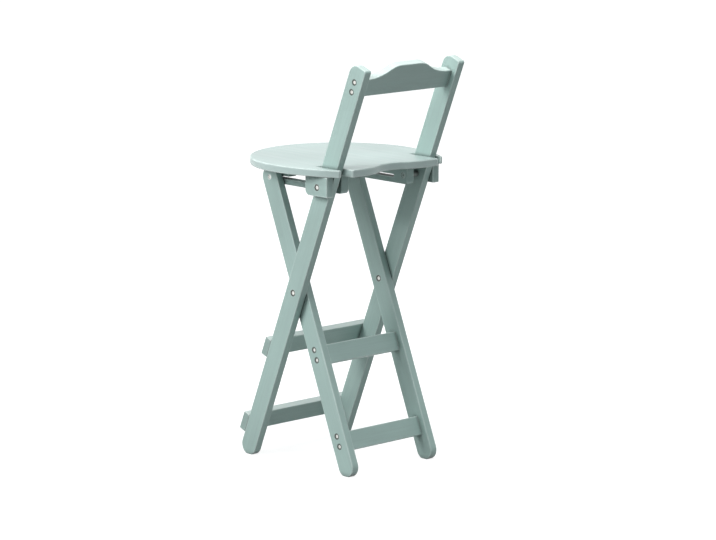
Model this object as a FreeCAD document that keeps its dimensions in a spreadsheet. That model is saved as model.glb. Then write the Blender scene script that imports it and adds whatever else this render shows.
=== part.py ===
import FreeCAD, Part
import math
import os

import Sketcher

# A folding bar stool made of painted boards.
# Millimetres and degrees. Z is up, the floor is Z = 0, the sitter looks towards -Y, and +X is the
# sitter's left. The origin is under the middle of the whole stool. The long legs run on as the
# posts of the back; the short legs cross them on two bolts. The most skilful feature is the seat
# linkage: the seat turns on the long legs between two blocks a side, and a rod between the tops of
# the short legs slides in a slotted rail under the seat. The rod is nearly as far from the crossing
# as the seat pivot is, so the slot can be straight and level.

os.makedirs("parts", exist_ok=True)
document = FreeCAD.newDocument("FoldingBarStool")

# Driving dimensions, each written once.
driving = {
    # The two pairs of legs
    "crossing_height": 420,
    "leg_lean": 22,
    "board_width": 50,
    "board_thick": 20,
    "edge_round": 2,
    "foot_flat": 1.5,
    "frame_half_width": 160,
    "leg_gap": 1.2,
    "post_reach": 600,
    "post_round": 24,
    "post_corner": 6,
    "seat_reach": 288,
    "rod_drop": 4.3,
    "closed_lean": 3.4,
    # The rails between them
    "rail_height": 46,
    "front_rail_upper": 170,
    "front_rail_rise": 45.6,
    "rear_rail_upper": 158,
    "rear_rail_rise": 58.6,
    "rear_rail_set": 2,
    "rear_screw_lift": 3.5,
    # The crest rail
    "crest_low": 526,
    "crest_end_height": 44,
    "crest_rise": 28.5,
    "crest_level": 15,
    "crest_hump": 30,
    "crest_low_radius": 114,
    # The seat board
    "seat_over_pivot": 27,
    "seat_thick": 18,
    "seat_round": 2.8,
    "seat_overhang": 57,
    "seat_forward": 5,
    "ear_width": 5.8,
    "ear_behind_pivot": 59.5,
    "ear_round": 4,
    "lobe_behind_ear": 16.5,
    "lobe_round": 5,
    "lobe_width": 42.8,
    "scoop_depth": 25,
    "slot_side_play": 1.2,
    "slot_front_play": 2.4,
    "slot_round": 4,
    # What hangs under the seat
    "under_height": 48,
    "block_thick": 21,
    "block_ahead": 40.5,
    "block_behind": 33.5,
    "block_round": 13,
    "guide_thick": 23,
    "guide_play": 1,
    "guide_front_wall": 22,
    "guide_back_wall": 14,
    "guide_round": 8,
    "notch_start": 46,
    "notch_stop": 69,
    "rod_radius": 3,
    "rod_play": 0.3,
    # Bolts with sleeve nuts
    "turn_play": 0.1,
    "bore_play": 0.06,
    "bolt_radius": 4,
    "bolt_head_radius": 6.5,
    "bolt_head_height": 3,
    "bolt_socket": 2.9,
    "sleeve_radius": 5.2,
    "sleeve_length": 12,
    "shank_short_of_end": 1,
    "washer_radius": 10,
    "spacer_radius": 7,
    "pocket_depth": 4,
    "pocket_play": 0.5,
    "socket_depth": 2,
    # Screws
    "screw_radius": 2.5,
    "screw_length": 46,
    "screw_point": 6,
    "screw_head_radius": 4.5,
    "screw_head_height": 3,
    "screw_socket": 2.3,
    "screw_pitch": 25,
    "screw_sink": 16,
    "block_screw_edge": 11,
    "rod_screw_radius": 2,
    "rod_screw_length": 40,
    "rod_screw_head_radius": 5,
}

# Places worked out from the driving dimensions. Leg places are measured up the leg from the
# crossing, and backwards from the leg's middle line. Seat places are measured backwards from the
# crossing and up from the floor. crossing_y is where the crossing is from the origin.
derived = {
    "half_board": "Sizes.board_width / 2",
    "seat_radius": "Sizes.frame_half_width + Sizes.seat_overhang",
    "post_round_across": "half_board - Sizes.post_round",
    "post_round_along": "Sizes.post_reach - Sizes.post_round",
    "post_corner_across": "half_board - Sizes.post_corner",
    "post_corner_along": "Sizes.post_reach - Sizes.post_corner",
    "post_corner_y": "post_corner_along * sin(Sizes.leg_lean) "
                     "+ post_corner_across * cos(Sizes.leg_lean)",
    "post_back": "post_corner_y + Sizes.post_corner",
    "crossing_y": "(seat_radius + Sizes.seat_forward - post_back) / 2",
    "foot_drop": "half_board - Sizes.foot_flat",
    "foot_reach": "(Sizes.crossing_height - foot_drop) / cos(Sizes.leg_lean)",
    "foot_chord": "sqrt(half_board ^ 2 - foot_drop ^ 2)",
    "heel_across": "foot_drop * sin(Sizes.leg_lean) - foot_chord * cos(Sizes.leg_lean)",
    "heel_along": "-foot_reach - foot_drop * cos(Sizes.leg_lean) - foot_chord * sin(Sizes.leg_lean)",
    "toe_across": "foot_drop * sin(Sizes.leg_lean) + foot_chord * cos(Sizes.leg_lean)",
    "toe_along": "-foot_reach - foot_drop * cos(Sizes.leg_lean) + foot_chord * sin(Sizes.leg_lean)",
    "front_rail_lower": "foot_reach - Sizes.front_rail_rise",
    "rear_rail_lower": "foot_reach - Sizes.rear_rail_rise",
    "post_inner": "Sizes.frame_half_width - Sizes.board_thick",
    "short_outer": "post_inner - Sizes.leg_gap",
    "short_inner": "short_outer - Sizes.board_thick",
    "block_inner": "Sizes.frame_half_width + Sizes.slot_side_play",
    "block_outer": "block_inner + Sizes.block_thick",
    "guide_outer": "short_inner - Sizes.guide_play",
    "guide_inner": "guide_outer - Sizes.guide_thick",
    "pivot_y": "Sizes.seat_reach * sin(Sizes.leg_lean)",
    "pivot_z": "Sizes.crossing_height + Sizes.seat_reach * cos(Sizes.leg_lean)",
    "rod_reach": "Sizes.seat_reach - Sizes.rod_drop",
    "rod_y": "rod_reach * sin(Sizes.leg_lean)",
    "rail_half": "Sizes.rail_height / 2",
    "front_rail_face": "-half_board - Sizes.board_thick",
    "front_rail_middle": "-half_board - Sizes.board_thick / 2",
    "front_rail_screw": "Sizes.frame_half_width - Sizes.board_thick / 2",
    "crest_end": "Sizes.crest_low + Sizes.crest_end_height",
    "crest_top": "crest_end + Sizes.crest_rise",
    "crest_middle": "Sizes.crest_low + Sizes.crest_end_height / 2",
    "crest_shoulder": "post_inner - Sizes.crest_level",
    "crest_run": "crest_shoulder - Sizes.crest_hump",
    "crest_radii": "(crest_run ^ 2 + Sizes.crest_rise ^ 2) / (2 * Sizes.crest_rise)",
    "crest_high_radius": "crest_radii - Sizes.crest_low_radius",
    "crest_turn": "crest_shoulder - Sizes.crest_low_radius * crest_run / crest_radii",
    "crest_turn_height": "crest_end + Sizes.crest_low_radius * Sizes.crest_rise / crest_radii",
    "crest_low_centre": "crest_end + Sizes.crest_low_radius",
    "crest_high_centre": "crest_top - crest_high_radius",
    "seat_bottom": "pivot_z + Sizes.seat_over_pivot",
    "slot_outer": "Sizes.frame_half_width + Sizes.slot_side_play",
    "slot_inner": "post_inner - Sizes.slot_side_play",
    "ear_back": "pivot_y + Sizes.ear_behind_pivot",
    "ear_half_width": "slot_outer + Sizes.ear_width",
    "ear_run": "ear_back + Sizes.seat_forward",
    "ear_inset": "seat_radius - ear_half_width",
    "side_radius": "(ear_inset ^ 2 + ear_run ^ 2) / (2 * ear_inset)",
    "side_centre": "seat_radius - side_radius",
    "slot_front": "pivot_y - half_board - Sizes.slot_front_play",
    "lobe_back": "ear_back + Sizes.lobe_behind_ear",
    "scoop_half_width": "slot_inner - Sizes.lobe_width",
    "scoop_radius": "(scoop_half_width ^ 2 / Sizes.scoop_depth + Sizes.scoop_depth) / 4",
    "scoop_turn": "scoop_half_width / 2",
    "scoop_turn_back": "lobe_back - Sizes.scoop_depth / 2",
    "scoop_side_centre": "lobe_back - scoop_radius",
    "scoop_centre": "lobe_back - Sizes.scoop_depth + scoop_radius",
    "under_low": "seat_bottom - Sizes.under_height",
    "block_front": "pivot_y - Sizes.block_ahead",
    "block_back": "pivot_y + Sizes.block_behind",
    "block_round_y": "block_front + Sizes.block_round",
    "block_round_z": "under_low + Sizes.block_round",
    "block_screw_x": "block_inner + Sizes.block_thick / 2",
    "block_screw_front": "block_front + Sizes.block_screw_edge",
    "block_screw_back": "block_back - Sizes.block_screw_edge",
    "slide_half": "Sizes.rod_radius + Sizes.rod_play",
    "slide_z": "pivot_z - Sizes.rod_drop * (1 + cos(Sizes.leg_lean)) / 2",
    "slide_low": "slide_z - slide_half",
    "slide_high": "slide_z + slide_half",
    "slide_end": "pivot_y - (Sizes.seat_reach + rod_reach) * sin(Sizes.closed_lean)",
    "guide_front": "-rod_y - slide_half - Sizes.guide_front_wall",
    "guide_back": "pivot_y + Sizes.guide_back_wall",
    "notch_front": "Sizes.notch_start - rod_y",
    "notch_back": "slide_end - Sizes.notch_stop",
    "guide_screw_x": "guide_inner + Sizes.guide_thick / 2",
    "guide_screw_front": "guide_front + Sizes.guide_front_wall / 2",
    "guide_screw_back": "(slide_end + slide_half + pivot_y - Sizes.sleeve_radius) / 2",
    "half_pitch": "Sizes.screw_pitch / 2",
    "bolt_bore": "Sizes.bolt_radius + Sizes.bore_play",
    "bolt_pocket": "Sizes.bolt_head_radius + Sizes.pocket_play",
    "sleeve_bore": "Sizes.sleeve_radius + Sizes.bore_play",
    "sleeve_run": "Sizes.pocket_depth + Sizes.sleeve_length + Sizes.pocket_play",
    "screw_bore": "Sizes.screw_radius + Sizes.bore_play",
    "screw_pocket": "Sizes.screw_head_radius + Sizes.pocket_play",
    "screw_run": "Sizes.pocket_depth + Sizes.screw_length + Sizes.pocket_play",
    "sunk_screw_run": "Sizes.screw_sink + Sizes.screw_length + Sizes.pocket_play",
    "rod_screw_bore": "Sizes.rod_screw_radius + Sizes.bore_play",
    "rod_screw_pocket": "Sizes.rod_screw_head_radius + Sizes.pocket_play",
    "rod_screw_run": "Sizes.pocket_depth + Sizes.rod_screw_length + Sizes.pocket_play",
    "post_seat": "Sizes.frame_half_width - Sizes.pocket_depth",
    "short_seat": "short_outer - Sizes.pocket_depth",
    "block_seat": "block_outer - Sizes.pocket_depth",
    "front_rail_seat": "front_rail_face + Sizes.pocket_depth",
    "sunk_seat": "under_low + Sizes.screw_sink",
    "crossing_nut_seat": "short_inner + Sizes.pocket_depth - Sizes.turn_play",
    "pivot_nut_seat": "guide_inner + Sizes.pocket_depth",
    "crossing_shank": "post_seat - crossing_nut_seat - Sizes.shank_short_of_end",
    "pivot_shank": "block_seat - pivot_nut_seat - Sizes.shank_short_of_end",
    "crossing_washer": "Sizes.leg_gap - Sizes.turn_play",
    "pivot_washer": "Sizes.slot_side_play - Sizes.turn_play",
    "pivot_spacer": "post_inner - guide_outer - Sizes.turn_play",
}


def fill_sheet(name, entries, mark):
    """A spreadsheet with one named cell for each entry."""
    sheet = document.addObject("Spreadsheet::Sheet", name)
    for row, (word, entry) in enumerate(entries.items(), start=1):
        sheet.set("A%d" % row, word)
        sheet.set("B%d" % row, mark + str(entry))
        sheet.setAlias("B%d" % row, word)
    document.recompute()
    return sheet


sizes = fill_sheet("Sizes", driving, "")
places = fill_sheet("Places", derived, "=")


def formula(word):
    """The expression that reads a named size. A leading minus sign is kept."""
    bare = word.lstrip("-")
    sheet = "Sizes." if bare in driving else "Places."
    return word.replace(bare, sheet + bare)


def number(word):
    """The same size as a plain number, for a sketch's first guess."""
    bare = word.lstrip("-")
    sheet = sizes if bare in driving else places
    return float(sheet.get(bare)) * (-1 if word.startswith("-") else 1)


def shifted(word, rise):
    """An expression for a named place, half a screw pitch above it or below it."""
    return "%s %s Places.half_pitch" % (formula(word), "+" if rise > 0 else "-")


def expression(text):
    """Text with a space in it is already an expression; a single word is a named size."""
    return text if " " in text else formula(text)


X_AXIS = FreeCAD.Vector(1, 0, 0)
Y_AXIS = FreeCAD.Vector(0, 1, 0)
Z_AXIS = FreeCAD.Vector(0, 0, 1)
TURNS = {
    "left": FreeCAD.Rotation(Y_AXIS, 90),
    "right": FreeCAD.Rotation(Y_AXIS, -90),
    "back": FreeCAD.Rotation(X_AXIS, -90),
    "front": FreeCAD.Rotation(X_AXIS, 90),
    "up": FreeCAD.Rotation(Z_AXIS, 0),
    "down": FreeCAD.Rotation(X_AXIS, 180),
}
# Each side's word, the sign of its X, and the way from that side's face into the wood.
SIDES = (("left", "", "right"), ("right", "-", "left"))
nodes = []


def place(item, across, along, up, turn):
    """Put an object at named coordinates, with its own Z axis turned to point the given way."""
    item.Placement = FreeCAD.Placement(FreeCAD.Vector(0, 0, 0), TURNS[turn])
    for letter, text in (("x", across), ("y", along), ("z", up)):
        if text:
            item.setExpression("Placement.Base." + letter, expression(text))
    return item


def rod(name, radius, length, across="", along="", up="", turn="up"):
    """A cylinder that starts at a named point and runs the given way."""
    item = document.addObject("Part::Cylinder", name)
    item.setExpression("Radius", expression(radius))
    item.setExpression("Height", expression(length))
    return place(item, across, along, up, turn)


def finish(item, label, frame="seat"):
    """Name a finished sub-part, move it to the crossing and lean it with its pair of legs."""
    item.Label = label
    if frame != "seat":
        axis = FreeCAD.Vector(-1 if frame == "back" else 1, 0, 0)
        item.Placement = FreeCAD.Placement(FreeCAD.Vector(0, 0, 0), FreeCAD.Rotation(axis, 10))
        item.setExpression("Placement.Rotation.Angle", "Sizes.leg_lean")
        item.setExpression("Placement.Base.z", "Sizes.crossing_height")
    item.setExpression("Placement.Base.y", "Places.crossing_y")
    nodes.append(item)


def cut(base, tools, name):
    """One object less the others."""
    result = document.addObject("Part::Cut", name + "_cut")
    result.Base = base
    result.Tool = tools[0]
    if len(tools) > 1:
        together = document.addObject("Part::MultiFuse", name + "_tools")
        together.Shapes = tools
        result.Tool = together
    return result


def own_plane(body, role):
    """A sketch on one of the body's own origin planes."""
    sketch = body.newObject("Sketcher::SketchObject", body.Label + "_sketch")
    plane = [item for item in body.Origin.OriginFeatures if item.Role == role][0]
    sketch.AttachmentSupport = [(plane, "")]
    sketch.MapMode = "FlatFace"
    return sketch


def bind_point(sketch, edge, point, kind, word):
    """Hold a point of a sketch at a named distance from its origin."""
    rule = sketch.addConstraint(Sketcher.Constraint(kind, -1, 1, edge, point, number(word)))
    sketch.setExpression("Constraints[%d]" % rule, formula(word))


def outlined(label, role, corners):
    """A new body with a closed outline through named corners, every one bound to its size.

    A corner is (across, along) where a straight edge leaves it, and has three more words where an
    arc does: the centre's two coordinates and the way round, left or right.
    """
    body = document.addObject("PartDesign::Body", label + "_body")
    body.Label = label + "_body"
    sketch = own_plane(body, role)
    spots = [FreeCAD.Vector(number(corner[0]), number(corner[1]), 0) for corner in corners]
    edges = []
    starts = []
    for index, corner in enumerate(corners):
        here = spots[index]
        there = spots[(index + 1) % len(spots)]
        leftwards = len(corner) == 2 or corner[4] == "left"
        starts.append(1 if leftwards else 2)
        if len(corner) == 2:
            edges.append(Part.LineSegment(here, there))
            continue
        middle = [number(word) if word else 0 for word in corner[2:4]]
        first, last = (here, there) if leftwards else (there, here)
        begin = math.atan2(first.y - middle[1], first.x - middle[0])
        end = math.atan2(last.y - middle[1], last.x - middle[0])
        if end <= begin:
            end += 2 * math.pi
        centre = FreeCAD.Vector(middle[0], middle[1], 0)
        circle = Part.Circle(centre, Z_AXIS, (here - centre).Length)
        edges.append(Part.ArcOfCircle(circle, begin, end))
    sketch.addGeometry(edges, False)
    for index, corner in enumerate(corners):
        after = (index + 1) % len(corners)
        tie = Sketcher.Constraint("Coincident", index, 3 - starts[index], after, starts[after])
        sketch.addConstraint(tie)
        bind_point(sketch, index, starts[index], "DistanceX", corner[0])
        bind_point(sketch, index, starts[index], "DistanceY", corner[1])
        if len(corner) > 2:
            span = spots[after] - spots[index]
            wide = abs(span.x) >= abs(span.y) or not corner[2]
            kind = "DistanceY" if wide else "DistanceX"
            bind_point(sketch, index, 3, kind, corner[3] if wide else corner[2])
    document.recompute()
    return body, sketch


def pad(body, sketch, thick, way):
    """Give an outline its thickness: forwards or backwards from its plane, or both evenly."""
    board = body.newObject("PartDesign::Pad", body.Label + "_board")
    board.Profile = sketch
    board.setExpression("Length", thick)
    board.Midplane = way == "both"
    board.Reversed = way == "backwards"
    document.recompute()
    return board


def rim(board, axis, keep=None):
    """Names of the edges round the flat faces that look along an axis, where keep allows them."""
    names = []
    for face in board.Shape.Faces:
        flat = isinstance(face.Surface, Part.Plane)
        if not flat or abs(face.normalAt(0, 0).dot(axis)) < 0.999:
            continue
        for edge in face.Edges:
            for position, other in enumerate(board.Shape.Edges, start=1):
                name = "Edge%d" % position
                wanted = keep is None or keep(edge.CenterOfMass)
                if edge.isSame(other) and wanted and name not in names:
                    names.append(name)
    return names


def corners_at(board, axis, spots):
    """Names of the straight edges along an axis that pass through the given spots."""
    names = []
    for position, edge in enumerate(board.Shape.Edges, start=1):
        straight = isinstance(edge.Curve, Part.Line)
        if not straight or abs(edge.tangentAt(edge.FirstParameter).dot(axis)) < 0.999:
            continue
        for spot in spots:
            offset = edge.CenterOfMass - spot
            if (offset - axis * offset.dot(axis)).Length < 0.01:
                names.append("Edge%d" % position)
    return names


def ease(body, board, edges, radius):
    """Round the named edges of the body's last feature."""
    rounding = body.newObject("PartDesign::Fillet", body.Label + "_rounding")
    rounding.Base = (board, edges)
    rounding.setExpression("Radius", formula(radius))
    document.recompute()
    return rounding


def screw_holes(name, across, along, up, turn):
    """The bore and the head pocket of one screw."""
    bore = rod(name + "_bore", "screw_bore", "screw_run", across, along, up, turn)
    pocket = rod(name + "_pocket", "screw_pocket", "pocket_depth", across, along, up, turn)
    return [bore, pocket]


def leg(label, side, sign, inner, top, cut_front, cut_back):
    """A leg: a board with a round foot, cut level between two named points, and a shaped top."""
    body, sketch = outlined(label, "YZ_Plane", [("half_board", "-foot_reach")] + top + [
        ("-half_board", "-foot_reach", "", "-foot_reach", "left"),
        cut_front,
        cut_back + ("", "-foot_reach", "left"),
    ])
    board = pad(body, sketch, "Sizes.board_thick", "forwards" if side == "left" else "backwards")
    ease(body, board, rim(board, X_AXIS), "edge_round")
    body.setExpression("Placement.Base.x", formula(sign + inner))
    return body


# The tops of the posts are cut square, with a large round in front and a small one behind. The
# short legs end in a half circle round the rod.
post_top = [
    ("half_board", "post_corner_along", "post_corner_across", "post_corner_along", "left"),
    ("post_corner_across", "post_reach"),
    ("-post_round_across", "post_reach", "-post_round_across", "post_round_along", "left"),
    ("-half_board", "post_round_along"),
]
short_top = [
    ("half_board", "rod_reach", "", "rod_reach", "left"),
    ("-half_board", "rod_reach"),
]

# Long legs. Each has bores for the crossing bolt, the seat pivot, the crest and the front rails.
for side, sign, inwards in SIDES:
    label = "back_leg_" + side
    face = sign + "frame_half_width"
    body = leg(label, side, sign, "post_inner", post_top,
               ("heel_across", "heel_along"), ("toe_across", "toe_along"))
    holes = [
        rod(label + "_crossing", "bolt_bore", "board_thick", face, turn=inwards),
        rod(label + "_crossing_head", "bolt_pocket", "pocket_depth", face, turn=inwards),
        rod(label + "_pivot", "bolt_bore", "board_thick", face, up="seat_reach", turn=inwards),
    ]
    for rise in (-1, 1):
        holes += screw_holes(label + "_crest", face, "", shifted("crest_middle", rise), inwards)
        for rail in ("-front_rail_upper", "-front_rail_lower"):
            holes.append(rod(label + "_rail", "screw_bore", "screw_run", sign + "front_rail_screw",
                             "front_rail_face", shifted(rail, rise), "back"))
    finish(cut(body, holes, label), label, "back")


def rear_screw(rail, rise):
    """How far up the short legs one screw of a rear rail is."""
    return shifted("-" + rail, rise) + " + Sizes.rear_screw_lift"


# Short legs, inside the long ones. Their tops carry the rod that slides under the seat.
for side, sign, inwards in SIDES:
    label = "short_leg_" + side
    face = sign + "short_outer"
    inner_face = sign + "short_inner"
    body = leg(label, side, sign, "short_inner", short_top,
               ("-toe_across", "toe_along"), ("-heel_across", "heel_along"))
    holes = [
        rod(label + "_crossing", "bolt_bore", "board_thick", face, turn=inwards),
        rod(label + "_sleeve", "sleeve_bore", "sleeve_run", inner_face, turn=side),
        rod(label + "_sleeve_head", "bolt_pocket", "pocket_depth", inner_face, turn=side),
        rod(label + "_rod", "rod_screw_bore", "board_thick", face, "", "rod_reach", inwards),
        rod(label + "_rod_head", "rod_screw_pocket", "pocket_depth", face, "", "rod_reach", inwards),
    ]
    for rise in (-1, 1):
        for rail in ("rear_rail_upper", "rear_rail_lower"):
            holes += screw_holes(label + "_rail", face, "-rear_rail_set", rear_screw(rail, rise),
                                 inwards)
    finish(cut(body, holes, label), label, "short")


def straight_rail(label, half_length, middle):
    """A board across the stool, standing on edge at its own height."""
    body = document.addObject("PartDesign::Body", label + "_body")
    body.Label = label + "_body"
    sketch = own_plane(body, "YZ_Plane")
    half_thick = number("board_thick") / 2
    half_high = number("rail_half")
    ends = [FreeCAD.Vector(half_thick * y, half_high * z, 0)
            for y, z in ((-1, -1), (1, -1), (1, 1), (-1, 1))]
    for index in range(4):
        sketch.addGeometry(Part.LineSegment(ends[index], ends[(index + 1) % 4]), False)
    for index in range(4):
        sketch.addConstraint(Sketcher.Constraint("Coincident", index, 2, (index + 1) % 4, 1))
        sketch.addConstraint(Sketcher.Constraint("Vertical" if index % 2 else "Horizontal", index))
    sketch.addConstraint(Sketcher.Constraint("Symmetric", 0, 1, 2, 1, -1, 1))
    for edge, kind, size in ((0, "DistanceX", "board_thick"), (1, "DistanceY", "rail_height")):
        rule = sketch.addConstraint(Sketcher.Constraint(kind, edge, 1, edge, 2, number(size)))
        sketch.setExpression("Constraints[%d]" % rule, formula(size))
    board = pad(body, sketch, "2 * " + formula(half_length), "both")
    body.setExpression("Placement.Base.y", formula(middle))
    body.setExpression("Placement.Base.z", formula("-" + label))
    return body, board


# Front rails, the foot rests, screwed to the front edges of the long legs.
for label in ("front_rail_upper", "front_rail_lower"):
    body, board = straight_rail(label, "frame_half_width", "front_rail_middle")
    ease(body, board, rim(board, Y_AXIS), "edge_round")
    holes = []
    for side, sign, inwards in SIDES:
        for rise in (-1, 1):
            holes += screw_holes(label, sign + "front_rail_screw", "front_rail_face",
                                 shifted("-" + label, rise), "back")
    finish(cut(body, holes, label), label, "back")

# Rear rails, between the short legs. Only their long edges are eased.
for label in ("rear_rail_upper", "rear_rail_lower"):
    body, board = straight_rail(label, "short_inner", "-rear_rail_set")
    ease(body, board, rim(board, Y_AXIS, lambda spot: abs(spot.x) < 1), "edge_round")
    holes = []
    for side, sign, inwards in SIDES:
        for rise in (-1, 1):
            holes.append(rod(label + "_bore", "screw_bore", "screw_run", sign + "short_outer",
                             "-rear_rail_set", rear_screw(label, rise), inwards))
    finish(cut(body, holes, label), label, "short")

# Crest rail: straight below, with level shoulders that sweep up to a flat hump.
body, sketch = outlined("crest_rail", "XZ_Plane", [
    ("-post_inner", "crest_low"),
    ("post_inner", "crest_low"),
    ("post_inner", "crest_end"),
    ("crest_shoulder", "crest_end", "crest_shoulder", "crest_low_centre", "right"),
    ("crest_turn", "crest_turn_height", "crest_hump", "crest_high_centre", "left"),
    ("crest_hump", "crest_top"),
    ("-crest_hump", "crest_top", "-crest_hump", "crest_high_centre", "left"),
    ("-crest_turn", "crest_turn_height", "-crest_shoulder", "crest_low_centre", "right"),
    ("-crest_shoulder", "crest_end"),
    ("-post_inner", "crest_end"),
])
board = pad(body, sketch, "Sizes.board_thick", "both")
reach = number("post_inner") - 1
ease(body, board, rim(board, Y_AXIS, lambda spot: abs(spot.x) < reach), "edge_round")
holes = []
for side, sign, inwards in SIDES:
    for rise in (-1, 1):
        holes.append(rod("crest_rail_bore", "screw_bore", "screw_run", sign + "frame_half_width",
                         "", shifted("crest_middle", rise), inwards))
finish(cut(body, holes, "crest_rail"), "crest_rail", "back")

# Slide rod, between the tops of the short legs, drilled at both ends for its screws.
core = rod("slide_rod_core", "rod_radius", "2 * Places.short_inner", "-short_inner", "",
           "rod_reach", "left")
holes = [rod("slide_rod_bore", "rod_screw_bore", "rod_screw_run", sign + "short_outer", "",
             "rod_reach", inwards) for side, sign, inwards in SIDES]
finish(cut(core, holes, "slide_rod"), "slide_rod", "short")

# Seat board: a half circle in front, two long sides that draw in, a slot on each side for the
# posts, and between the slots two lobes with a scoop in the middle.
left_half = [
    ("seat_radius", "-seat_forward", "side_centre", "-seat_forward", "left"),
    ("ear_half_width", "ear_back"),
    ("slot_outer", "ear_back"),
    ("slot_outer", "slot_front"),
    ("slot_inner", "slot_front"),
    ("slot_inner", "lobe_back"),
    ("scoop_half_width", "lobe_back", "scoop_half_width", "scoop_side_centre", "left"),
    ("scoop_turn", "scoop_turn_back", "", "scoop_centre", "right"),
]
right_half = [
    ("-scoop_turn", "scoop_turn_back", "-scoop_half_width", "scoop_side_centre", "left"),
    ("-scoop_half_width", "lobe_back"),
    ("-slot_inner", "lobe_back"),
    ("-slot_inner", "slot_front"),
    ("-slot_outer", "slot_front"),
    ("-slot_outer", "ear_back"),
    ("-ear_half_width", "ear_back", "-side_centre", "-seat_forward", "left"),
    ("-seat_radius", "-seat_forward", "", "-seat_forward", "left"),
]
body, sketch = outlined("seat_board", "XY_Plane", left_half + right_half)
board = pad(body, sketch, "Sizes.seat_thick", "forwards")
roundings = (
    ("lobe_round", (("slot_inner", "lobe_back"),)),
    ("ear_round", (("ear_half_width", "ear_back"),)),
    ("slot_round", (("slot_outer", "slot_front"), ("slot_inner", "slot_front"))),
)
for radius, spots in roundings:
    both = [FreeCAD.Vector(number(across) * way, number(along), 0)
            for across, along in spots for way in (1, -1)]
    board = ease(body, board, corners_at(board, Z_AXIS, both), radius)
ease(body, board, rim(board, Z_AXIS), "seat_round")
body.setExpression("Placement.Base.z", formula("seat_bottom"))
block_screws = {side: [(sign + "block_screw_x", along)
                       for along in ("block_screw_front", "block_screw_back")]
                for side, sign, inwards in SIDES}
guide_screws = {side: [(sign + "guide_screw_x", along)
                       for along in ("guide_screw_front", "guide_screw_back")]
                for side, sign, inwards in SIDES}
holes = []
for side, sign, inwards in SIDES:
    for across, along in block_screws[side] + guide_screws[side]:
        holes.append(rod("seat_board_bore", "screw_bore", "sunk_screw_run", across, along,
                         "under_low"))
finish(cut(body, holes, "seat_board"), "seat_board")


def under_seat_holes(label, screws):
    """Bores and deep counterbores for the screws that hold a block or a guide to the seat."""
    found = []
    for across, along in screws:
        found.append(rod(label + "_bore", "screw_bore", "sunk_screw_run", across, along, "under_low"))
        found.append(rod(label + "_sink", "screw_pocket", "screw_sink", across, along, "under_low"))
    return found


# Outer blocks: the outer half of each seat pivot, with a large round on the lower front corner.
for side, sign, inwards in SIDES:
    label = "outer_block_" + side
    face = sign + "block_outer"
    body, sketch = outlined(label, "YZ_Plane", [
        ("block_round_y", "under_low"),
        ("block_back", "under_low"),
        ("block_back", "seat_bottom"),
        ("block_front", "seat_bottom"),
        ("block_front", "block_round_z", "block_round_y", "block_round_z", "left"),
    ])
    board = pad(body, sketch, "Sizes.block_thick", "forwards" if side == "left" else "backwards")
    top = number("seat_bottom") - 1
    ease(body, board, rim(board, X_AXIS, lambda spot: spot.z < top), "edge_round")
    body.setExpression("Placement.Base.x", formula(sign + "block_inner"))
    holes = under_seat_holes(label, block_screws[side])
    holes.append(rod(label + "_pivot", "bolt_bore", "block_thick", face, "pivot_y", "pivot_z",
                     inwards))
    holes.append(rod(label + "_pivot_head", "bolt_pocket", "pocket_depth", face, "pivot_y",
                     "pivot_z", inwards))
    finish(cut(body, holes, label), label)

# Guide rails: the inner half of each seat pivot and the slot that the rod slides in, all one piece.
# The slot's two ends stop the rod, and a notch opens its top for a third of the way.
for side, sign, inwards in SIDES:
    label = "guide_rail_" + side
    face = sign + "guide_inner"
    body, sketch = outlined(label, "YZ_Plane", [
        ("guide_front", "under_low"),
        ("guide_back", "under_low"),
        ("guide_back", "seat_bottom"),
        ("notch_back", "seat_bottom"),
        ("notch_back", "slide_high"),
        ("slide_end", "slide_high", "slide_end", "slide_z", "right"),
        ("slide_end", "slide_low"),
        ("-rod_y", "slide_low", "-rod_y", "slide_z", "right"),
        ("-rod_y", "slide_high"),
        ("notch_front", "slide_high"),
        ("notch_front", "seat_bottom"),
        ("guide_front", "seat_bottom"),
    ])
    board = pad(body, sketch, "Sizes.guide_thick", "forwards" if side == "left" else "backwards")
    low_corners = [FreeCAD.Vector(0, number(along), number("under_low"))
                   for along in ("guide_front", "guide_back")]
    board = ease(body, board, corners_at(board, X_AXIS, low_corners), "guide_round")
    front = number("guide_front") + number("guide_round")
    back = number("guide_back") - number("guide_round")
    low = number("under_low") + number("guide_round")
    top = number("seat_bottom") - 1
    outside = rim(board, X_AXIS, lambda spot: spot.z < top and (
        spot.z < low or spot.y < front or spot.y > back))
    ease(body, board, outside, "edge_round")
    body.setExpression("Placement.Base.x", formula(face))
    holes = under_seat_holes(label, guide_screws[side])
    for part, radius, length in (("_pivot", "bolt_bore", "guide_thick"),
                                 ("_sleeve", "sleeve_bore", "sleeve_run"),
                                 ("_sleeve_head", "bolt_pocket", "pocket_depth")):
        holes.append(rod(label + part, radius, length, face, "pivot_y", "pivot_z", side))
    finish(cut(body, holes, label), label)


def socket(name, width, head):
    """The hexagonal socket in the top of a head."""
    hexagon = document.addObject("Part::Prism", name + "_socket")
    hexagon.Polygon = 6
    hexagon.setExpression("Circumradius", formula(width))
    hexagon.setExpression("Height", formula("socket_depth"))
    return place(hexagon, "", "", formula(head) + " - Sizes.socket_depth", "up")


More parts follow.
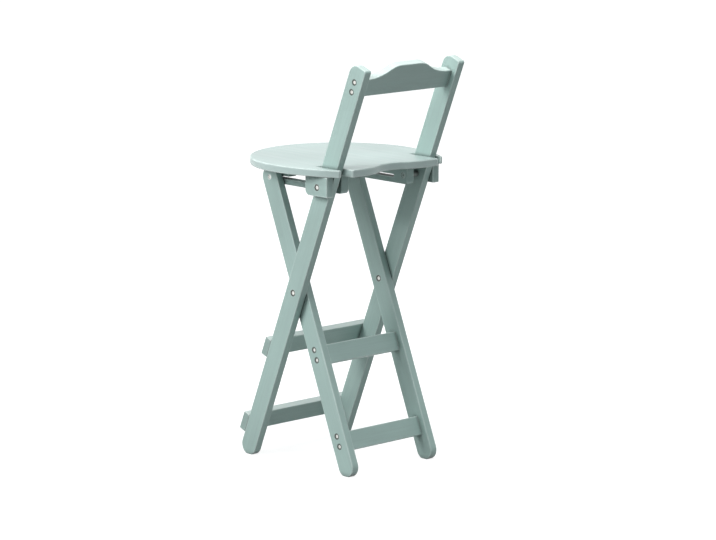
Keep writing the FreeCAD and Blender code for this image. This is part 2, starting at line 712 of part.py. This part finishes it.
def bolt(name, radius, length, head_radius, head_height, socket_width, point=None):
    """A bolt or screw. Its head stands on the origin and its shank hangs below."""
    shank = rod(name + "_shank", radius, length, turn="down")
    head = rod(name + "_head", head_radius, head_height)
    pieces = [shank, head]
    if point:
        straight = expression(length) + " - " + formula(point)
        shank.setExpression("Height", straight)
        tip = document.addObject("Part::Cone", name + "_tip")
        tip.setExpression("Radius1", formula(radius))
        tip.setExpression("Radius2", formula(radius) + " / 10")
        tip.setExpression("Height", formula(point))
        pieces.append(place(tip, "", "", "-(" + straight + ")", "down"))
    whole = document.addObject("Part::MultiFuse", name + "_whole")
    whole.Shapes = pieces
    return cut(whole, [socket(name, socket_width, head_height)], name)


def ring(name, radius, hole, length):
    """A washer or spacer that starts at the origin."""
    return cut(rod(name + "_outside", radius, length), [rod(name + "_hole", hole, length)], name)


def group(label, pattern, spots, frame="seat"):
    """Copies of one fastener, each at its own spot, gathered in one sub-part."""
    copies = []
    for across, along, up, turn in spots:
        link = document.addObject("App::Link", label + "_copy")
        link.LinkedObject = pattern
        link.LinkTransform = False
        copies.append(place(link, across, along, up, turn))
    gathered = document.addObject("Part::Compound", label + "_group")
    gathered.Links = copies
    finish(gathered, label, frame)


# Crossing bolts with their washers and sleeve nuts.
pattern = bolt("crossing_bolt", "bolt_radius", "crossing_shank", "bolt_head_radius",
               "bolt_head_height", "bolt_socket")
group("crossing_bolts", pattern, [(sign + "post_seat", "", "", side)
                                  for side, sign, inwards in SIDES], "back")
pattern = ring("crossing_washer", "washer_radius", "bolt_bore", "crossing_washer")
group("crossing_washers", pattern, [(sign + "post_inner", "", "", inwards)
                                    for side, sign, inwards in SIDES], "back")
barrel = place(ring("sleeve_nut_barrel", "sleeve_radius", "bolt_bore", "sleeve_length"),
               "", "", "", "down")
nut = document.addObject("Part::MultiFuse", "sleeve_nut_whole")
nut.Shapes = [barrel, rod("sleeve_nut_head", "bolt_head_radius", "bolt_head_height")]
sleeve_nut = cut(nut, [socket("sleeve_nut", "bolt_socket", "bolt_head_height")], "sleeve_nut")
group("crossing_nuts", sleeve_nut, [(sign + "crossing_nut_seat", "", "", inwards)
                                    for side, sign, inwards in SIDES], "back")

# Seat pivot bolts with their washers, spacers and sleeve nuts.
pattern = bolt("seat_pivot_bolt", "bolt_radius", "pivot_shank", "bolt_head_radius",
               "bolt_head_height", "bolt_socket")
group("seat_pivot_bolts", pattern, [(sign + "block_seat", "pivot_y", "pivot_z", side)
                                    for side, sign, inwards in SIDES])
group("seat_pivot_nuts", sleeve_nut, [(sign + "pivot_nut_seat", "pivot_y", "pivot_z", inwards)
                                      for side, sign, inwards in SIDES])
pattern = ring("seat_pivot_washer", "washer_radius", "bolt_bore", "pivot_washer")
group("seat_pivot_washers", pattern, [(sign + "block_inner", "pivot_y", "pivot_z", inwards)
                                      for side, sign, inwards in SIDES])
pattern = ring("seat_pivot_spacer", "spacer_radius", "bolt_bore", "pivot_spacer")
group("seat_pivot_spacers", pattern, [(sign + "guide_outer", "pivot_y", "pivot_z", side)
                                      for side, sign, inwards in SIDES])

# Screws in the ends of the slide rod.
pattern = bolt("rod_end_screw", "rod_screw_radius", "rod_screw_length", "rod_screw_head_radius",
               "screw_head_height", "bolt_socket")
group("rod_end_screws", pattern, [(sign + "short_seat", "", "rod_reach", side)
                                  for side, sign, inwards in SIDES], "short")

# Wood screws, all of one pattern.
screw = bolt("wood_screw", "screw_radius", "screw_length", "screw_head_radius",
             "screw_head_height", "screw_socket", "screw_point")
group("crest_screws", screw, [
    (sign + "post_seat", "", shifted("crest_middle", rise), side)
    for side, sign, inwards in SIDES for rise in (-1, 1)], "back")
group("rear_rail_screws", screw, [
    (sign + "short_seat", "-rear_rail_set", rear_screw(rail, rise), side)
    for side, sign, inwards in SIDES for rise in (-1, 1)
    for rail in ("rear_rail_upper", "rear_rail_lower")], "short")
group("front_rail_screws", screw, [
    (sign + "front_rail_screw", "front_rail_seat", shifted(rail, rise), "front")
    for side, sign, inwards in SIDES for rise in (-1, 1)
    for rail in ("-front_rail_upper", "-front_rail_lower")], "back")
for label, spots in (("block_screws", block_screws), ("guide_screws", guide_screws)):
    group(label, screw, [(across, along, "sunk_seat", "down")
                         for across, along in spots["left"] + spots["right"]])

# Every object is checked before anything is written.
document.recompute()
for item in document.Objects:
    if "Invalid" in item.State or "Error" in item.State:
        raise RuntimeError("%s failed: %s" % (item.Name, item.State))
for item in nodes:
    if item.Shape.isNull() or not item.Shape.isValid() or not item.Shape.Solids:
        raise RuntimeError(item.Label + " has no valid shape")
for item in nodes:
    item.Shape.exportStep("parts/%s.step" % item.Label)
    box = item.Shape.BoundBox
    print("%-20s %2d solids %9.0f mm3  x %7.1f %7.1f  y %7.1f %7.1f  z %7.1f %7.1f" % (
        item.Label, len(item.Shape.Solids), item.Shape.Volume,
        box.XMin, box.XMax, box.YMin, box.YMax, box.ZMin, box.ZMax))
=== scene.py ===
import math

import bmesh
import bpy
from mathutils import Matrix, Vector

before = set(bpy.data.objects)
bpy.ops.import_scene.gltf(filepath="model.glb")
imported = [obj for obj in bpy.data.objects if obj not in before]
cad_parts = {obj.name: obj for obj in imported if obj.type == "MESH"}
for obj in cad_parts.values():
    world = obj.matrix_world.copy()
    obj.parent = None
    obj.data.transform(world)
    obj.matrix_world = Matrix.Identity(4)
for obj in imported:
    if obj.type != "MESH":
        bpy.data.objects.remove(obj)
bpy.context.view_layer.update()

# Long legs. Two planed boards run from the floor up through the seat and on as the posts of the
# back. They are brushed with a satin sage paint that lets the grain show. The paint is paled
# along the edges, for wear and as a painted highlight on the arrises, and darkened near other
# pieces as painted shade, with some dirt in the joints.
LEG_LEAN = math.radians(22)
UP_LONG_LEG = (LEG_LEAN, 0, 0)


def new_material(name):
    material = bpy.data.materials.new(name)
    material.use_nodes = True
    return material, material.node_tree, material.node_tree.nodes["Principled BSDF"]


def value_ramp(tree, source, low, high, dark, light):
    """Turn a factor into a grey between two levels."""
    ramp = tree.nodes.new("ShaderNodeMapRange")
    ramp.inputs["From Min"].default_value = low
    ramp.inputs["From Max"].default_value = high
    ramp.inputs["To Min"].default_value = dark
    ramp.inputs["To Max"].default_value = light
    tree.links.new(source, ramp.inputs["Value"])
    return ramp.outputs["Result"]


def noise(tree, coordinates, scale, detail, stretch=(1, 1, 1), offset=(0, 0, 0)):
    """A noise stretched by a mapping of its own."""
    mapping = tree.nodes.new("ShaderNodeMapping")
    mapping.inputs["Scale"].default_value = stretch
    mapping.inputs["Location"].default_value = offset
    tree.links.new(coordinates, mapping.inputs["Vector"])
    texture = tree.nodes.new("ShaderNodeTexNoise")
    texture.inputs["Scale"].default_value = scale
    texture.inputs["Detail"].default_value = detail
    tree.links.new(mapping.outputs["Vector"], texture.inputs["Vector"])
    return texture.outputs["Fac"]


def multiply(tree, one, other):
    product = tree.nodes.new("ShaderNodeMath")
    product.operation = "MULTIPLY"
    for position, item in enumerate((one, other)):
        if isinstance(item, (int, float)):
            product.inputs[position].default_value = item
        else:
            tree.links.new(item, product.inputs[position])
    return product.outputs["Value"]


def scaled(tree, colour, factor):
    """A colour made darker or paler by a factor."""
    scaling = tree.nodes.new("ShaderNodeVectorMath")
    scaling.operation = "SCALE"
    tree.links.new(colour, scaling.inputs[0])
    tree.links.new(factor, scaling.inputs["Scale"])
    return scaling.outputs["Vector"]


def mix_colour(tree, factor, low, high):
    """A colour between two, chosen by a factor."""
    mix = tree.nodes.new("ShaderNodeMix")
    mix.data_type = "RGBA"
    tree.links.new(factor, mix.inputs["Factor"])
    for socket, item in ((mix.inputs[6], low), (mix.inputs[7], high)):
        if isinstance(item, tuple):
            socket.default_value = item + (1,)
        else:
            tree.links.new(item, socket)
    return mix.outputs[2]


def axis_distance(tree, coordinates, centres):
    """How far a point is from the nearest of some axes that run across the stool."""
    nearest = None
    for centre in centres:
        offset = tree.nodes.new("ShaderNodeVectorMath")
        offset.operation = "SUBTRACT"
        tree.links.new(coordinates, offset.inputs[0])
        offset.inputs[1].default_value = centre
        flat = tree.nodes.new("ShaderNodeVectorMath")
        flat.operation = "MULTIPLY"
        tree.links.new(offset.outputs["Vector"], flat.inputs[0])
        flat.inputs[1].default_value = (0, 1, 1)
        length = tree.nodes.new("ShaderNodeVectorMath")
        length.operation = "LENGTH"
        tree.links.new(flat.outputs["Vector"], length.inputs[0])
        if nearest is None:
            nearest = length.outputs["Value"]
            continue
        least = tree.nodes.new("ShaderNodeMath")
        least.operation = "MINIMUM"
        tree.links.new(nearest, least.inputs[0])
        tree.links.new(length.outputs["Value"], least.inputs[1])
        nearest = least.outputs["Value"]
    return nearest


def fixing_centres(*names):
    """The middle of each screw or bolt on the left side, whose axis runs across the stool."""
    centres = []
    for name in names:
        mesh = bmesh.new()
        mesh.from_mesh(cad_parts[name].data)
        waiting = set(mesh.verts)
        while waiting:
            spread = [waiting.pop()]
            solid = []
            while spread:
                corner = spread.pop()
                solid.append(corner.co.copy())
                for edge in corner.link_edges:
                    other = edge.other_vert(corner)
                    if other in waiting:
                        waiting.discard(other)
                        spread.append(other)
            low = [min(point[axis] for point in solid) for axis in range(3)]
            high = [max(point[axis] for point in solid) for axis in range(3)]
            middle = tuple((one + other) / 2 for one, other in zip(low, high))
            if middle[0] > 0:
                centres.append(middle)
        mesh.free()
    return centres


SAGE = (0.395, 0.535, 0.500)
# Pale sage for edges and tops, worn and with a painted highlight.
RUBBED_AND_LIT_SAGE = (0.84, 0.92, 0.89)
# Near black for painted shade close to other pieces, with some dirt in the joints.
SHADE_AND_JOINT_DIRT = (0.040, 0.062, 0.056)
# Dark for the painted shade in the screw recesses, with some old paint.
RECESS_SHADE_AND_OLD_PAINT = (0.045, 0.056, 0.044)
RECESS_RADIUS = 0.0052
RECESS_FADE = 0.0012
GRAIN_SCALE = 230
BRUSH_SCALE = 80
PATCH_SCALE = 7
SPECKLE_SCALE = 900
STROKE_SHARE = 0.14
JOINT_SHADE_SHARE = 0.85
RECESS_SHADE_SHARE = 0.92
# Heights over which the legs' broad faces are darkened as painted shade, toward the feet and
# under the seat.
FOOT_SHADE_HEIGHT = 0.80
SEAT_SHADE_SPAN = (0.42, 0.66)
GRAIN_RELIEF = 0.0006
PEEL_RELIEF = 0.0003


def painted(name, turn, offset=(0, 0, 0), paint=SAGE, fixings=(), streaks=0.15, arris_reach=0.0028,
            worn_lit_edge=1.0, worn_lit_top=0.0, end_tone=1.0, foot_shade=1.0, seat_shade=1.0,
            shade_reach=0.012, dull=0.40, coat=0.10):
    """Satin paint on a board whose grain lies along Z once turned by these angles.

    end_tone darkens the faces that look sideways all over, as darker end grain; foot_shade and
    seat_shade darken them toward the floor and toward the seat, as painted shade.
    """
    material, tree, shader = new_material(name)
    place = tree.nodes.new("ShaderNodeTexCoord")
    turned = tree.nodes.new("ShaderNodeMapping")
    turned.inputs["Rotation"].default_value = turn
    tree.links.new(place.outputs["Object"], turned.inputs["Vector"])
    along = turned.outputs["Vector"]

    # The paint is a little uneven: broad patches, darker grain lines and paler brush strokes.
    grain = noise(tree, along, GRAIN_SCALE, 5, (1, 1, 0.035), offset)
    brush = noise(tree, along, BRUSH_SCALE, 3, (1, 1, 0.08), offset)
    patches = noise(tree, along, PATCH_SCALE, 2, (1, 1, 0.45), offset)
    speckle = noise(tree, along, SPECKLE_SCALE, 2)
    thick = tuple(value * 0.92 for value in paint)
    thin = tuple(value * 1.06 for value in paint)
    in_grain = tuple(value * 0.62 for value in paint)
    in_stroke = tuple(value * 1.35 for value in paint)
    colour = mix_colour(tree, value_ramp(tree, patches, 0.35, 0.65, 0, 1), thick, thin)
    colour = mix_colour(tree, value_ramp(tree, grain, 0.42, 0.70, 0.0, streaks), colour, in_grain)
    colour = mix_colour(tree, value_ramp(tree, brush, 0.50, 0.75, 0.0, STROKE_SHARE), colour,
                        in_stroke)

    # Height: the broad faces are darkened toward the feet and under the seat, as painted shade.
    normal = tree.nodes.new("ShaderNodeSeparateXYZ")
    tree.links.new(place.outputs["Normal"], normal.inputs["Vector"])
    sideways = value_ramp(tree, multiply(tree, normal.outputs["X"], normal.outputs["X"]),
                          0.05, 0.60, 0.0, 1.0)
    if foot_shade != 1 or seat_shade != 1:
        height = tree.nodes.new("ShaderNodeSeparateXYZ")
        tree.links.new(place.outputs["Object"], height.inputs["Vector"])
        low_down = value_ramp(tree, height.outputs["Z"], 0.0, FOOT_SHADE_HEIGHT, foot_shade, 1.0)
        high_up = value_ramp(tree, height.outputs["Z"], *SEAT_SHADE_SPAN, 1.0, seat_shade)
        height_shaded = scaled(tree, colour, multiply(tree, low_down, high_up))
        colour = mix_colour(tree, sideways, colour, height_shaded)

    # Edges: close to an arris and on upward faces the paint is paled, for wear where hands or
    # feet rest and as a painted highlight where light catches them.
    arris = tree.nodes.new("ShaderNodeAmbientOcclusion")
    arris.samples = 8
    arris.inside = True
    arris.only_local = True
    arris.inputs["Distance"].default_value = arris_reach
    wear_and_highlight = value_ramp(tree, arris.outputs["AO"], 0.97, 0.62, 0.0, worn_lit_edge)
    wear_and_highlight = multiply(tree, wear_and_highlight, value_ramp(tree, brush, 0.35, 0.60, 0.65, 1.0))
    colour = mix_colour(tree, wear_and_highlight, colour, RUBBED_AND_LIT_SAGE)
    if worn_lit_top:
        top_wear_and_highlight = value_ramp(tree, normal.outputs["Z"], 0.55, 0.85, 0.0, worn_lit_top)
        colour = mix_colour(tree, top_wear_and_highlight, colour, RUBBED_AND_LIT_SAGE)
    if end_tone != 1:
        colour = scaled(tree, colour, value_ramp(tree, sideways, 0.0, 1.0, 1.0, end_tone))

    # Joints and recesses: close to another piece the paint is darkened, as painted shade with
    # some dirt in the joints.
    shade = tree.nodes.new("ShaderNodeAmbientOcclusion")
    shade.samples = 8
    shade.inputs["Distance"].default_value = shade_reach
    occlusion_shade = value_ramp(tree, shade.outputs["AO"], 0.25, 0.90, JOINT_SHADE_SHARE, 0.0)
    colour = mix_colour(tree, occlusion_shade, colour, SHADE_AND_JOINT_DIRT)
    # Round each screw a dark ring is painted shade of its countersunk recess, with some old
    # paint.
    if fixings:
        away = axis_distance(tree, place.outputs["Object"], fixings)
        recess_shade = value_ramp(tree, away, RECESS_RADIUS, RECESS_RADIUS + RECESS_FADE,
                          RECESS_SHADE_SHARE, 0.0)
        colour = mix_colour(tree, recess_shade, colour, RECESS_SHADE_AND_OLD_PAINT)
    tree.links.new(colour, shader.inputs["Base Color"])

    tree.links.new(value_ramp(tree, brush, 0.3, 0.7, dull, dull + 0.16),
                   shader.inputs["Roughness"])
    shader.inputs["Specular IOR Level"].default_value = 0.42
    shader.inputs["Coat Weight"].default_value = coat
    shader.inputs["Coat Roughness"].default_value = 0.35

    relief = tree.nodes.new("ShaderNodeBump")
    relief.inputs["Strength"].default_value = 0.30
    relief.inputs["Distance"].default_value = GRAIN_RELIEF
    tree.links.new(grain, relief.inputs["Height"])
    peel = tree.nodes.new("ShaderNodeBump")
    peel.inputs["Strength"].default_value = 0.10
    peel.inputs["Distance"].default_value = PEEL_RELIEF
    tree.links.new(speckle, peel.inputs["Height"])
    tree.links.new(relief.outputs["Normal"], peel.inputs["Normal"])
    tree.links.new(peel.outputs["Normal"], shader.inputs["Normal"])
    return material


def dress(material, *names):
    """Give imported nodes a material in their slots."""
    for name in names:
        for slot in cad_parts[name].material_slots:
            slot.material = material


through_long_leg = fixing_centres("crossing_bolts", "crest_screws")
# Their broad faces are darkened toward the feet as painted shade, and their tops are paled for
# wear and as a painted highlight.
dress(painted("paint_back_leg_left", UP_LONG_LEG, fixings=through_long_leg, worn_lit_top=0.4,
              foot_shade=0.84), "back_leg_left")
dress(painted("paint_back_leg_right", UP_LONG_LEG, (3, 1, 2), fixings=through_long_leg,
              worn_lit_top=0.4, foot_shade=0.84), "back_leg_right")

# Crest rail. A board cut to level shoulders and a flat hump, planed to a narrow top, and held
# between the posts by two countersunk steel screws a side, in recesses darkened with painted
# shade and old paint. Its narrow top is paled for wear and as a painted highlight.
ACROSS = (0, math.radians(90), 0)
dress(painted("paint_crest", ACROSS, (2, 2, 5), worn_lit_top=0.62), "crest_rail")


BRIGHT_RADIUS = 0.0011
DARK_RADIUS = 0.0028
CLOUD_SCALE = 160
SCRATCH_SCALE = 1500
SCRATCH_RELIEF = 0.0002


def steel(name, colour, low_rough, high_rough, fixings=(), metallic=1.0, dark_rim=0.95):
    """Plated steel, a little cloudy and brushed fine, bright in the middle of a head and darkened
    toward its rim as painted shade of the countersink, with some old paint.
    """
    material, tree, shader = new_material(name)
    place = tree.nodes.new("ShaderNodeTexCoord")
    cloud = noise(tree, place.outputs["Object"], CLOUD_SCALE, 3)
    scratch = noise(tree, place.outputs["Object"], SCRATCH_SCALE, 2, (1, 1, 0.1))
    pale = tuple(value * 1.12 for value in colour)
    tint = mix_colour(tree, cloud, colour, pale)
    if fixings:
        away = axis_distance(tree, place.outputs["Object"], fixings)
        rim_shade = value_ramp(tree, away, BRIGHT_RADIUS, DARK_RADIUS, 0, dark_rim)
        tint = mix_colour(tree, rim_shade, tint, RECESS_SHADE_AND_OLD_PAINT)
    tree.links.new(tint, shader.inputs["Base Color"])
    tree.links.new(value_ramp(tree, cloud, 0.3, 0.7, low_rough, high_rough),
                   shader.inputs["Roughness"])
    shader.inputs["Metallic"].default_value = metallic
    relief = tree.nodes.new("ShaderNodeBump")
    relief.inputs["Strength"].default_value = 0.12
    relief.inputs["Distance"].default_value = SCRATCH_RELIEF
    tree.links.new(scratch, relief.inputs["Height"])
    tree.links.new(relief.outputs["Normal"], shader.inputs["Normal"])
    return material


ZINC = (0.88, 0.88, 0.85)


def head_steel(name, fixings, metallic=0.5, dark_rim=0.95):
    """Zinc plate on the heads around these axes."""
    return steel(name, ZINC, 0.48, 0.62, fixings, metallic, dark_rim)


dress(head_steel("crest_screw_steel", fixing_centres("crest_screws")), "crest_screws")

# Front rails. Two foot rests laid on the front edges of the long legs, with softened arrises,
# screwed on from the front.
# Their sage is a lit copy, a painted light; their tops are paled for wear and as a painted
# highlight, and their end grain is darker.
LIT_SAGE = (0.427, 0.578, 0.540)
dress(painted("paint_front_rails", ACROSS, (4, 7, 1), LIT_SAGE, worn_lit_top=0.8, end_tone=0.70),
      "front_rail_upper", "front_rail_lower")
screw_steel = steel("screw_steel", ZINC, 0.48, 0.62)
dress(screw_steel, "front_rail_screws")

# Crossing pivots. On each side a domed bolt goes through both legs into a sleeve nut, with a
# thin washer between the boards, so that the frames turn on each other.
# The washers and spacers are a dark steel, its darkness painted shade for where they sit hidden
# between pieces.
dull_steel = steel("dull_steel", (0.20, 0.22, 0.21), 0.50, 0.66)
dress(head_steel("crossing_bolt_steel", fixing_centres("crossing_bolts")), "crossing_bolts",
      "crossing_nuts")
dress(dull_steel, "crossing_washers")

# Short legs. The same board as the long legs, inside them and leaning the other way, cut round
# at the top, where the slide rod passes.
UP_SHORT_LEG = (-LEG_LEAN, 0, 0)
into_short_leg = fixing_centres("rear_rail_screws", "crossing_bolts")
# Their broad faces are darkened toward the feet and under the seat as painted shade.
dress(painted("paint_short_leg_left", UP_SHORT_LEG, (5, 2, 1), fixings=into_short_leg,
              foot_shade=0.94, seat_shade=0.86, shade_reach=0.018), "short_leg_left")
dress(painted("paint_short_leg_right", UP_SHORT_LEG, (7, 4, 3), fixings=into_short_leg,
              foot_shade=0.94, seat_shade=0.86, shade_reach=0.018), "short_leg_right")

# Rear rails. Two boards fixed between the short legs, each with two screws a side.
# Their tops are paled for wear and as a painted highlight.
dress(painted("paint_rear_rails", ACROSS, (9, 5, 6), worn_lit_top=0.3), "rear_rail_upper",
      "rear_rail_lower")
dress(head_steel("rear_rail_screw_steel", fixing_centres("rear_rail_screws")),
      "rear_rail_screws")

# Slide rod. A plain drawn steel rod between the tops of the short legs, which runs in the slots
# of the guides, with a screw in each end.
dress(steel("rod_steel", (0.60, 0.61, 0.60), 0.28, 0.42), "slide_rod")
dress(head_steel("rod_screw_steel", fixing_centres("rod_end_screws"), 0.3, 0.30),
      "rod_end_screws")

# Seat. A glued panel cut round in front and scooped behind, with two slots for the posts. Its
# paint is thinner, smoother and a little greyer than that of the legs, the grey partly a painted
# sheen. Its rim is paled wide, for wear and as a painted highlight.
LENGTHWISE = (math.radians(90), 0, 0)
SEAT_SAGE = (0.415, 0.515, 0.495)
dress(painted("paint_seat", LENGTHWISE, (1, 6, 2), SEAT_SAGE, streaks=0.07, arris_reach=0.0034,
              dull=0.30, coat=0.20), "seat_board")

# Blocks and guides. Under the seat an outer block and a slotted guide stand on each side of the
# posts, screwed up into the seat from below.
through_block = fixing_centres("seat_pivot_bolts")
# The blocks and guides take shaded copies of the sage, painted shade under the seat, and darken
# further near other pieces as painted shade.
SHADED_BLOCK_SAGE = (0.344, 0.465, 0.435)
dress(painted("paint_blocks", LENGTHWISE, (6, 3, 4), SHADED_BLOCK_SAGE, through_block,
              shade_reach=0.050), "outer_block_left", "outer_block_right")
SHADED_SAGE = (0.345, 0.475, 0.445)
guide_paint = painted("paint_guides", LENGTHWISE, (8, 2, 7), SHADED_SAGE, shade_reach=0.030,
                      worn_lit_edge=0.5)
dress(guide_paint, "guide_rail_left", "guide_rail_right")
dress(screw_steel, "block_screws", "guide_screws")

# Seat pivots. A long bolt goes through block, post and guide into a sleeve nut, painted over
# with the guide. A washer and a spacer keep the post free.
dress(head_steel("pivot_bolt_steel", through_block), "seat_pivot_bolts")
# The nut wears the guides' shaded paint, painted shade under the seat.
dress(guide_paint, "seat_pivot_nuts")
dress(dull_steel, "seat_pivot_washers", "seat_pivot_spacers")

# Floor. A plain pale ground that keeps a faint shadow under the feet and fades to white around
# the stool. It throws little light back up.
half_floor = 15.0
FLOOR_GREY = 0.33
FADE_FROM = 0.5
FADE_TO = 1.3
GLOW_NEAR = 0.86
floor_mesh = bpy.data.meshes.new("floor")
floor_mesh.from_pydata([(-half_floor, -half_floor, 0), (half_floor, -half_floor, 0),
                        (half_floor, half_floor, 0), (-half_floor, half_floor, 0)],
                       [], [(0, 1, 2, 3)])
floor = bpy.data.objects.new("floor", floor_mesh)
bpy.context.scene.collection.objects.link(floor)


def straight_sight(tree):
    """One for what the camera sees, itself or through a gloss or a glass, else nothing."""
    path = tree.nodes.new("ShaderNodeLightPath")
    sight = path.outputs["Is Camera Ray"]
    for kind in ("Is Glossy Ray", "Is Transmission Ray"):
        either = tree.nodes.new("ShaderNodeMath")
        either.operation = "MAXIMUM"
        tree.links.new(sight, either.inputs[0])
        tree.links.new(path.outputs[kind], either.inputs[1])
        sight = either.outputs["Value"]
    return sight


floor_material, tree, shader = new_material("pale_floor")
shader.inputs["Base Color"].default_value = (FLOOR_GREY, FLOOR_GREY, FLOOR_GREY, 1)
shader.inputs["Roughness"].default_value = 0.9
shader.inputs["Specular IOR Level"].default_value = 0.0
place = tree.nodes.new("ShaderNodeTexCoord")
reach = tree.nodes.new("ShaderNodeVectorMath")
reach.operation = "LENGTH"
tree.links.new(place.outputs["Object"], reach.inputs[0])
fade = value_ramp(tree, reach.outputs["Value"], FADE_FROM, FADE_TO, GLOW_NEAR, 1.0)
glow = tree.nodes.new("ShaderNodeEmission")
tree.links.new(multiply(tree, straight_sight(tree), fade), glow.inputs["Strength"])
both = tree.nodes.new("ShaderNodeAddShader")
tree.links.new(shader.outputs["BSDF"], both.inputs[0])
tree.links.new(glow.outputs["Emission"], both.inputs[1])
tree.links.new(both.outputs["Shader"], tree.nodes["Material Output"].inputs["Surface"])
floor_mesh.materials.append(floor_material)

# Surroundings. White where they are seen or mirrored, and a dim, even, slightly cool light on
# the stool.
COOL_WHITE = (0.88, 1.0, 1.03)
AMBIENT_STRENGTH = 0.26
world = bpy.data.worlds.new("studio")
bpy.context.scene.world = world
world.use_nodes = True
background = world.node_tree.nodes["Background"]
seen = straight_sight(world.node_tree)
world.node_tree.links.new(mix_colour(world.node_tree, seen, COOL_WHITE, (1, 1, 1)),
                          background.inputs["Color"])
world.node_tree.links.new(value_ramp(world.node_tree, seen, 0, 1, AMBIENT_STRENGTH, 1.0),
                          background.inputs["Strength"])

# Lamps. A soft key stands on the stool's left, near enough for its light to fall off toward the
# feet. One hangs overhead, and two weak ones lift the front and the right side.
AIM_HEIGHT = 0.5


def lamp(name, position, width, power):
    data = bpy.data.lights.new(name, "AREA")
    data.shape = "DISK"
    data.size = width
    data.energy = power
    item = bpy.data.objects.new(name, data)
    item.location = position
    aim = Vector((0, 0, AIM_HEIGHT)) - Vector(position)
    item.rotation_euler = aim.to_track_quat("-Z", "Y").to_euler()
    bpy.context.scene.collection.objects.link(item)


lamp("key", (3.7, -1.1, 2.85), 2.2, 147)
lamp("overhead", (0.3, 1.1, 4.2), 2.4, 100)
lamp("front_fill", (0.4, -3.6, 1.8), 2.0, 22)
lamp("right_fill", (-3.6, 0.3, 2.0), 2.0, 18)

# Camera. It stands behind the stool's left side, solved from the board edges in the photograph.
camera_data = bpy.data.cameras.new("camera")
camera_data.sensor_width = 36
camera_data.lens = 157.9
camera_data.clip_end = 60
camera_place = (5.0266, 5.3968, 1.8371)
camera = bpy.data.objects.new("camera", camera_data)
looks = Vector((-0.67273, -0.71666, -0.18393)).normalized()
upright = Vector((-0.12360, -0.13624, 0.98293))
across = looks.cross(upright).normalized()
upright = across.cross(looks)
turn = Matrix((across, upright, -looks)).transposed().to_4x4()
camera.matrix_world = Matrix.Translation(camera_place) @ turn
bpy.context.scene.collection.objects.link(camera)
bpy.context.scene.camera = camera
bpy.context.scene.view_settings.view_transform = "Standard"
